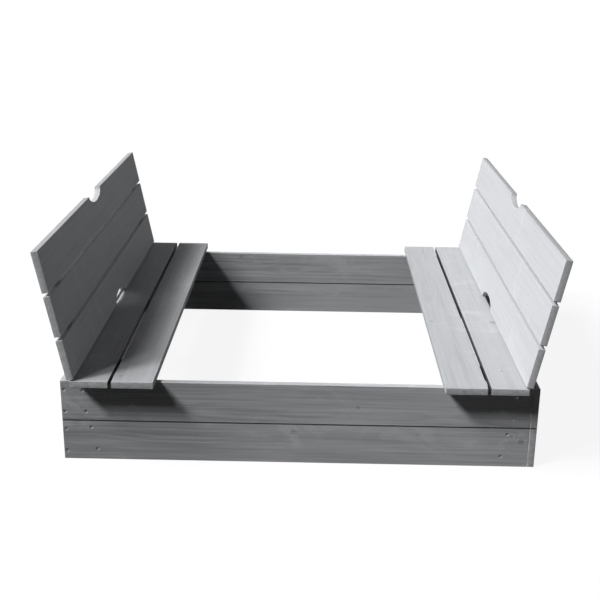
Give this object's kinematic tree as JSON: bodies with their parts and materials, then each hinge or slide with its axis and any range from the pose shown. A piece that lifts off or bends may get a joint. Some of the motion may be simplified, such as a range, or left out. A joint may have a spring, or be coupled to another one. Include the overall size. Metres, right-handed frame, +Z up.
{
  "type": "sandbox with cover",
  "caption": "Square open-bottomed timber sandbox whose hinged, sliding cover opens into facing benches with backrests and closes flat over the sand.",
  "frame": {"origin": "centre of the box on the ground, under the middle of the sand pit", "axes": "+X to the right bench, +Y away from the viewer along the bench planks, +Z up"},
  "size_m": [1.3024, 1.29, 0.5641],
  "materials": {
    "wall_timber": "grey stained softwood, matt",
    "cover_timber": "grey stained softwood, planed, matt",
    "cleat_timber": "grey stained softwood, matt",
    "zinc_steel": "zinc plated"
  },
  "bodies": {
    "sandbox_frame": {"front_lower_wall_board": "wall_timber", "front_lower_wall_bottom_screw": "zinc_steel", "front_lower_wall_top_screw": "zinc_steel", "front_upper_wall_board": "wall_timber", "front_upper_wall_bottom_screw": "zinc_steel", "front_upper_wall_top_screw": "zinc_steel", "right_lower_wall_board": "wall_timber", "right_lower_wall_bottom_screw": "zinc_steel", "right_lower_wall_top_screw": "zinc_steel", "right_upper_wall_board": "wall_timber", "right_upper_wall_bottom_screw": "zinc_steel", "right_upper_wall_top_screw": "zinc_steel", "rear_lower_wall_board": "wall_timber", "rear_lower_wall_bottom_screw": "zinc_steel", "rear_lower_wall_top_screw": "zinc_steel", "rear_upper_wall_board": "wall_timber", "rear_upper_wall_bottom_screw": "zinc_steel", "rear_upper_wall_top_screw": "zinc_steel", "left_lower_wall_board": "wall_timber", "left_lower_wall_bottom_screw": "zinc_steel", "left_lower_wall_top_screw": "zinc_steel", "left_upper_wall_board": "wall_timber", "left_upper_wall_bottom_screw": "zinc_steel", "left_upper_wall_top_screw": "zinc_steel", "front_left_corner_board": "wall_timber", "front_right_corner_board": "wall_timber", "rear_left_corner_board": "wall_timber", "rear_right_corner_board": "wall_timber"},
    "left_seat": {"left_seat_outer_board": "cover_timber", "left_seat_inner_board": "cover_timber", "left_seat_front_cleat": "cleat_timber", "left_seat_middle_cleat": "cleat_timber", "left_seat_rear_cleat": "cleat_timber", "left_front_hinge_seat_leaf": "zinc_steel", "left_front_hinge_pin": "zinc_steel", "left_rear_hinge_seat_leaf": "zinc_steel", "left_rear_hinge_pin": "zinc_steel"},
    "left_backrest": {"left_back_lower_board": "cover_timber", "left_back_middle_board": "cover_timber", "left_back_upper_board": "cover_timber", "left_back_front_cleat": "cleat_timber", "left_back_rear_cleat": "cleat_timber", "left_front_hinge_back_leaf": "zinc_steel", "left_rear_hinge_back_leaf": "zinc_steel"},
    "right_seat": {"right_seat_outer_board": "cover_timber", "right_seat_inner_board": "cover_timber", "right_seat_front_cleat": "cleat_timber", "right_seat_middle_cleat": "cleat_timber", "right_seat_rear_cleat": "cleat_timber", "right_front_hinge_seat_leaf": "zinc_steel", "right_front_hinge_pin": "zinc_steel", "right_rear_hinge_seat_leaf": "zinc_steel", "right_rear_hinge_pin": "zinc_steel"},
    "right_backrest": {"right_back_lower_board": "cover_timber", "right_back_middle_board": "cover_timber", "right_back_upper_board": "cover_timber", "right_back_front_cleat": "cleat_timber", "right_back_rear_cleat": "cleat_timber", "right_front_hinge_back_leaf": "zinc_steel", "right_rear_hinge_back_leaf": "zinc_steel"}
  },
  "joints": [
    {"name": "left_seat_slide", "type": "slide", "parent": "sandbox_frame", "child": "left_seat", "axis": [1, 0, 0], "range_m": [0, 0.3545]},
    {"name": "left_backrest_fold", "type": "hinge", "parent": "left_seat", "child": "left_backrest", "pos_m": [-0.567, 0, 0.2172], "axis": [0, -1, 0], "range_deg": [0, 78.6]},
    {"name": "right_seat_slide", "type": "slide", "parent": "sandbox_frame", "child": "right_seat", "axis": [-1, 0, 0], "range_m": [0, 0.3545]},
    {"name": "right_backrest_fold", "type": "hinge", "parent": "right_seat", "child": "right_backrest", "pos_m": [0.567, 0, 0.2172], "axis": [0, 1, 0], "range_deg": [0, 78.6]}
  ],
  "couplings": [
    {"joint": "left_backrest_fold", "follows": "left_seat_slide", "rad_per_m": 3.8697},
    {"joint": "right_backrest_fold", "follows": "right_seat_slide", "rad_per_m": 3.8697}
  ]
}
